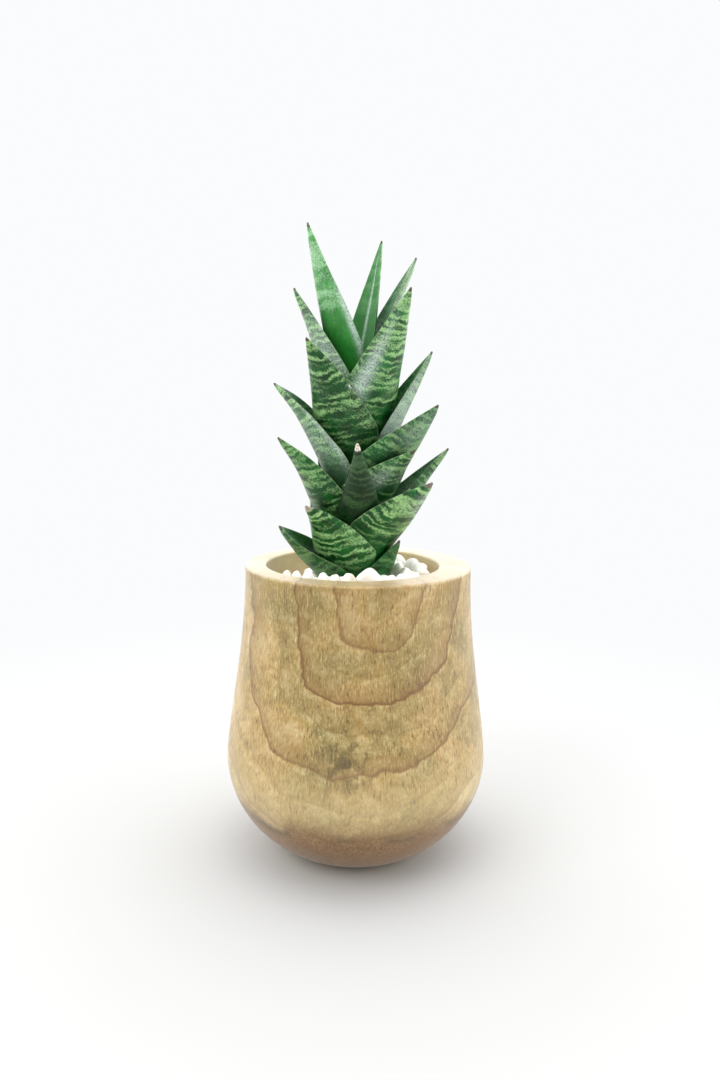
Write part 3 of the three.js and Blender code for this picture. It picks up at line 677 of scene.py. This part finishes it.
def half_width(leaf, t, wave):
    """Half the width: eases from the clasping base to the widest row, then falls as 1 - s to the
    power TAPER_POWER, rounded over the last hundredths; the margin waves slightly."""
    clasping = np.radians(LEAF_CLASP) * core_radius(leaf["height"])
    full = leaf["width"] / 2
    lower = clasping + (full - clasping) * ease(t / WIDEST_AT)
    above = np.clip((t - WIDEST_AT) / (1 - WIDEST_AT), 0.0, 1.0)
    upper = full * (1.0 - above**TAPER_POWER) + TIP_HALF_WIDTH
    point = np.sqrt(1.0 - np.clip((t - (1.0 - TIP_ROUND)) / TIP_ROUND, 0.0, 1.0) ** 2 * 0.98)
    return np.where(t < WIDEST_AT, lower, upper) * point * (1.0 + MARGIN_WAVE * wave)


def leaf_middle_surface(leaf, rng):
    """The leaf without thickness: each row is an arc open towards the stem, with half angle
    easing from the clasp to the cup. The flesh thins towards the tip and both margins. Returns
    the points, the flesh's half depth, the place across, the share of the length, and half the
    width of each row."""
    t, place, across, inward = leaf_axes(leaf)
    u = np.sin(np.linspace(-np.pi / 2, np.pi / 2, LEAF_COLUMNS))
    phases = rng.uniform(0.0, 2 * np.pi, 6)
    wave = np.sin(9.0 * t + phases[0]) + 0.6 * np.sin(23.0 * t + phases[1])
    half = half_width(leaf, t, wave)
    opening = np.radians(LEAF_CLASP + (leaf["cup"] - LEAF_CLASP) * ease(t / CUPPED_AT))
    radius = (half / opening)[:, None, None]
    side = np.where(u < 0.0, leaf.get("left", 1.0), 1.0)
    bend = ((u * side)[None, :] * opening[:, None])[..., None]
    points = place[:, None] + across[:, None] * radius * np.sin(bend)
    points = points + inward[:, None] * radius * (1.0 - np.cos(bend))
    ripple = 0.22 * np.sin(7.0 * t[:, None] + 3.0 * u + phases[2]) * np.sin(4.0 * u + phases[3])
    ripple = ripple + 0.10 * np.sin(17.0 * t[:, None] - 5.0 * u + phases[4])
    fade = (1.0 - 0.7 * t)[:, None] * np.minimum(1.0, half / 6.0)[:, None]
    points = points + inward[:, None] * (ripple * fade)[..., None]
    flesh = LEAF_FLESH * (1.0 - 0.55 * t) * np.minimum(1.0, half / 3.0 + 0.12) * (0.55 + 0.45 * ease(t / 0.3))
    depth = (flesh[:, None] * (1.0 - np.abs(u) ** 2.2) + LEAF_EDGE) / 2 * np.sqrt(1.0 - np.abs(u) ** 12)
    return points, depth, np.broadcast_to(u, depth.shape), np.broadcast_to(t[:, None], depth.shape), half


def shelf_cells(points):
    """Which cell of the table of turn and level each point falls in, and its radius."""
    x = points[..., 0] - stem_x(points[..., 2])
    turn = np.arctan2(points[..., 1], x) / (2 * np.pi) * SHELF_TURNS
    level = np.clip(points[..., 2] - SHELF_BOTTOM, 0, SHELF_LEVELS - 1)
    return np.round(turn).astype(int) % SHELF_TURNS, np.round(level).astype(int), np.hypot(x, points[..., 1])


def draw_in(points, depth, shelf):
    """Moves a leaf's points towards the stem's axis until it fits inside the outer leaves:
    by its radius plus depth less the smallest inner radius so far, smoothed over the grid."""
    turn, level, radius = shelf_cells(points)
    room = shelf[turn, level] - SHEATH_GAP - depth
    move = np.clip(radius - room, 0.0, np.minimum(SHEATH_LIMIT, radius - SHEATH_LEAST_RADIUS))
    for _ in range(SHEATH_SMOOTHING):
        padded = np.pad(move, 1, mode="edge")
        around = padded[:-2, 1:-1] + padded[2:, 1:-1] + padded[1:-1, :-2] + padded[1:-1, 2:]
        move = np.maximum(move * 0.98, around / 4)
    x = points[..., 0] - stem_x(points[..., 2])
    scale = np.clip(1.0 - move / np.maximum(radius, 0.1), 0.0, 1.0)
    moved = points.copy()
    moved[..., 0] = stem_x(points[..., 2]) + x * scale
    moved[..., 1] = points[..., 1] * scale
    return moved


def lower_shelf(points, depth, shelf):
    """Records the smallest inner radius in each cell, widened by one cell each way."""
    turn, level, radius = shelf_cells(points)
    mark = np.full_like(shelf, np.inf)
    np.minimum.at(mark, (turn, level), radius - depth)
    for shift in (-1, 1):
        mark = np.minimum(mark, np.roll(mark, shift, axis=0))
    wide = mark.copy()
    wide[:, 1:] = np.minimum(wide[:, 1:], mark[:, :-1])
    wide[:, :-1] = np.minimum(wide[:, :-1], mark[:, 1:])
    return np.minimum(shelf, wide)


def make_leaf(number, leaf, points, depth, u, t, half, material):
    """Outer and inner skins stand off the middle surface by the depth along its normal, and
    meet at both margins, so each row becomes one closed ring. The painted sheen fades out from the
    middle of each patch as a bell curve."""
    tangent_t = np.gradient(points, axis=0)
    tangent_u = np.gradient(points, axis=1)
    normal = unit(np.cross(tangent_u, tangent_t))
    outer = points + normal * depth[..., None]
    inner = (points - normal * depth[..., None])[:, -2:0:-1]
    rings = np.concatenate([outer, inner], axis=1)
    around_u = np.concatenate([u, u[:, -2:0:-1]], axis=1)
    around_t = np.concatenate([t, t[:, -2:0:-1]], axis=1)
    within = np.zeros_like(around_u)
    within[:, LEAF_COLUMNS:] = 1.0
    blade = np.stack([around_u, around_t, within], -1)
    lay = np.stack([around_u * half[:, None], around_t * leaf["length"],
                    np.full_like(within, 17.3 * number) + 5.0 * within], -1)
    facts = (leaf.get("bands", 0.8), leaf.get("dry", 1.0) / leaf["length"], leaf.get("cream", 0.0))
    nature = np.broadcast_to(facts, blade.shape)
    painted_sheen_and_shade = np.zeros_like(blade)
    # painted shade: how much darker this whole leaf is painted
    painted_sheen_and_shade[..., 1] = leaf.get("painted_shade", 0.0)
    # painted sheen: pale patches that stand in for glossy highlights, each fading out as a bell curve
    for across, along, wide, long, strength in leaf.get("painted_sheen_patches", []):
        spread = ((around_u - across) / wide) ** 2 + ((around_t - along) / long) ** 2
        painted_sheen_and_shade[..., 0] = np.maximum(painted_sheen_and_shade[..., 0], strength * np.exp(-spread))
    attributes = {"blade": blade.reshape(-1, 3), "lay": lay.reshape(-1, 3),
                  "nature": nature.reshape(-1, 3), "painted_sheen_and_shade": painted_sheen_and_shade.reshape(-1, 3)}
    node = f"leaf_{number:02d}"
    tube_piece(f"snake_{node}", rings, material, [node], attributes)


def make_leaves(grown, young):
    """Leaves from the outermost inwards, each drawn in under those before it."""
    rng = np.random.default_rng(7)
    shelf = np.full((SHELF_TURNS, SHELF_LEVELS), np.inf)
    for number, leaf in enumerate(LEAVES, start=1):
        points, depth, u, t, half = leaf_middle_surface(leaf, rng)
        points = draw_in(points, depth, shelf)
        shelf = lower_shelf(points, depth, shelf)
        make_leaf(number, leaf, points, depth, u, t, half, young if leaf.get("young") else grown)


# ----------------------------------------------------------------------- pebbles and soil
def pebble_points(rng, length, breadth, height, rows=22, sides=32):
    """A tumbled chip: the radius in each direction is that of a rounded box, the sum of
    |axis|^p to the power -1/p, times one plus a few slow waves, with its own turn."""
    polar = np.linspace(0.0, np.pi, rows)[:, None]
    turn = np.linspace(0.0, 2 * np.pi, sides, endpoint=False)[None, :]
    ways = np.stack(np.broadcast_arrays(np.sin(polar) * np.cos(turn), np.sin(polar) * np.sin(turn),
                                        np.cos(polar)), -1)
    spin = np.array(Matrix.Rotation(rng.uniform(0, 2 * np.pi), 3, Vector(rng.normal(size=3))))
    faceted = ways @ spin.T
    power = rng.uniform(2.6, 4.2)
    radius = (np.abs(faceted) ** power).sum(-1) ** (-1.0 / power)
    for _ in range(4):
        way = rng.normal(size=3) * rng.uniform(0.8, 2.0)
        radius = radius + 0.03 * np.sin(ways @ way + rng.uniform(0, 2 * np.pi))
    body = ways * radius[..., None]
    span = body.reshape(-1, 3).max(0) - body.reshape(-1, 3).min(0)
    return body / span * np.array([length, breadth, height])


def gravel_rise(x, y):
    """Height of the sloping gravel above or below its middle: a plane through the bore's axis."""
    return GRAVEL_SLOPE * (x * math.sin(GRAVEL_RISE_FACING) - y * math.cos(GRAVEL_RISE_FACING))


def settle(body, angle, reach, z):
    """The chip turned to lie along the bore's wall at a compass angle and reach, its height
    raised by the gravel's slope there."""
    turn = math.radians(angle)
    spin = np.array([[math.cos(turn), -math.sin(turn), 0], [math.sin(turn), math.cos(turn), 0], [0, 0, 1]])
    place = compass(turn, reach, z)
    place[2] += gravel_rise(place[0], place[1])
    place[:2] += BORE_OFFSET
    return body @ spin.T + place


def make_pebbles(material):
    """The top pebbles, each where its own solid lies."""
    rng = np.random.default_rng(11)
    for number, (angle, reach, length, height) in enumerate(PEBBLES, start=1):
        body = pebble_points(rng, length, length * PEBBLE_BREADTH, height)
        seat = GRAVEL_TOP + PEBBLE_LIFT * height - PEBBLE_SINK
        rings = settle(body, angle, reach, seat)
        tube_piece(f"marble_{number:02d}", rings, material, [f"pebble_{number:02d}"])


def make_gravel(material):
    """The lower pebbles, as one piece: rings of chips with uneven spacing and height."""
    rng = np.random.default_rng(23)
    points, faces = [], []
    rows, sides = 11, 14
    for reach, count in GRAVEL_RINGS:
        start = rng.uniform(0, 360)
        for k in range(count):
            angle = start + 360.0 * (k + rng.uniform(-0.2, 0.2)) / count
            length = rng.uniform(6.0, 7.6)
            height = rng.uniform(4.2, 5.2)
            body = pebble_points(rng, length, length * GRAVEL_BREADTH, height, rows, sides)
            rings = settle(body, angle, reach + rng.uniform(-0.5, 0.5), GRAVEL_TOP - rng.uniform(1.4, 2.6))
            faces += tube_faces(rows, sides, len(points) * rows * sides)
            points.append(rings.reshape(-1, 3))
    make_piece("gravel", np.concatenate(points), faces, material, ["gravel_bed"])


def make_soil(material):
    """A plug that fills the bore, its top raised and lowered by products of sines, as crumbs."""
    sides, under_rows, side_rows, top_rows = 120, 6, 4, 48
    bottom = BORE_FLOOR + 0.3
    radius = np.concatenate([np.linspace(1.0, SOIL_RADIUS, under_rows), np.full(side_rows, SOIL_RADIUS),
                             np.linspace(SOIL_RADIUS, 0.6, top_rows)])
    z = np.concatenate([np.full(under_rows, bottom), np.linspace(bottom, SOIL_TOP, side_rows),
                        np.full(top_rows, SOIL_TOP)])
    turn = np.linspace(0.0, 2 * np.pi, sides, endpoint=False)
    rings = compass(turn[None, :], radius[:, None], z[:, None])
    x, y = rings[..., 0], rings[..., 1]
    crumbs = 0.5 * np.sin(1.1 * x + 2.0 * np.sin(0.7 * y)) * np.sin(1.3 * y + 1.5 * np.sin(0.9 * x))
    crumbs = crumbs + 0.3 * np.sin(2.7 * x + 1.0) * np.sin(3.1 * y)
    top = (z > SOIL_TOP - 1.0)[:, None]
    rings[..., 2] += np.where(top, crumbs, 0.0)
    rings[..., :2] += BORE_OFFSET
    tube_piece("potting_soil", rings, material, ["soil"])


# ----------------------------------------------------------------------- camera and light
def make_camera():
    """Stands in front of the pot a little above it, tipped down and rolled a little."""
    data = bpy.data.cameras.new("camera")
    data.lens = CAMERA_LENS
    data.sensor_width = 36.0
    data.clip_start = 0.01
    camera = bpy.data.objects.new("camera", data)
    tip = Matrix.Rotation(math.radians(90.0 - CAMERA_DIP), 4, "X")
    roll = Matrix.Rotation(math.radians(CAMERA_ROLL), 4, "Z")
    camera.matrix_world = Matrix.Translation([value * MM for value in CAMERA_PLACE]) @ tip @ roll
    bpy.context.scene.collection.objects.link(camera)
    bpy.context.scene.camera = camera


def make_world():
    """A white studio: bright above, behind and beside, and dimmer in front. To the eye its walls
    are one even white."""
    world = bpy.data.worlds.new("white studio")
    world.use_nodes = True
    tree = world.node_tree
    towards = add(tree, "TexCoord", out="Generated")
    rising = add(tree, "VectorMath", {0: towards, 1: (0.0, 1.0, 0.8)}, out="Value", operation="DOT_PRODUCT")
    walls = add(tree, "MapRange", {0: rising, 1: -0.95, 2: 1.2, 3: FRONT_LIGHT, 4: BACK_LIGHT},
                interpolation_type="SMOOTHSTEP")
    seen = add(tree, "LightPath", out="Is Camera Ray")
    strength = add(tree, "Mix", {0: seen, 2: walls, 3: 1.0})
    background = tree.nodes["Background"]
    background.inputs["Color"].default_value = colour(STUDIO_WHITE)
    tree.links.new(strength, background.inputs["Strength"])
    bpy.context.scene.world = world
    bpy.context.scene.view_settings.view_transform = "Standard"


def floor_material():
    """Pale matt paper that takes a soft shadow. Further out it is as white as the walls, which
    hides where they meet."""
    material = bpy.data.materials.new("pale paper floor")
    material.use_nodes = True
    tree = material.node_tree
    tree.nodes.clear()
    reach = add(tree, "VectorMath", {0: add(tree, "TexCoord", out="Object")}, out="Value", operation="LENGTH")
    fade = add(tree, "MapRange", {0: reach, 1: FLOOR_FADE[0], 2: FLOOR_FADE[1]},
               interpolation_type="SMOOTHSTEP")
    seen = add(tree, "LightPath", out="Is Camera Ray")
    whiter = add(tree, "Math", {0: fade, 1: seen}, operation="MULTIPLY")
    paper = add(tree, "BsdfDiffuse", {"Color": colour("#bebebd")})
    glow = add(tree, "Emission", {"Color": colour(STUDIO_WHITE), "Strength": 1.0})
    add(tree, "OutputMaterial", {"Surface": add(tree, "MixShader", {0: whiter, 1: paper, 2: glow})})
    return material


def make_floor(material):
    """A wide flat disc at the height of the pot's foot."""
    turn = np.linspace(0.0, 2 * np.pi, 96, endpoint=False)
    mesh = bpy.data.meshes.new("floor")
    mesh.from_pydata(compass(turn, FLOOR_RADIUS, 0.0).tolist(), [], [list(range(len(turn)))])
    mesh.materials.append(material)
    floor = bpy.data.objects.new("floor", mesh)
    bpy.context.scene.collection.objects.link(floor)


def make_lamps():
    """Soft square lights, each pointing at its aim and not seen itself: a window at the upper
    left and a weak reflector at the right."""
    for name, place, aim, side, watts in LAMPS:
        data = bpy.data.lights.new(name, "AREA")
        data.size = side
        data.energy = watts
        lamp = bpy.data.objects.new(name, data)
        lamp.location = place
        lamp.rotation_euler = (Vector(aim) - Vector(place)).to_track_quat("-Z", "Y").to_euler()
        lamp.visible_camera = False
        bpy.context.scene.collection.objects.link(lamp)


make_camera()
make_world()
make_floor(floor_material())
make_lamps()
make_pot(wood_material())
make_stem(stem_material())
make_soil(soil_material())
marble = marble_material()
make_gravel(marble)
make_pebbles(marble)
make_leaves(
    leaf_material("banded leaf cuticle", ground="#04360c", drift="#13702a", pale="#9ccb84", base="#09661a",
                  inside="#125c2a", band_start=0.20, band_width=2.8),
    leaf_material("young leaf cuticle", ground="#25732a", drift="#4ba04a", pale="#a2d39f", base="#1b7a20",
                  inside="#166f1f", band_start=0.45, band_width=5.5),
)
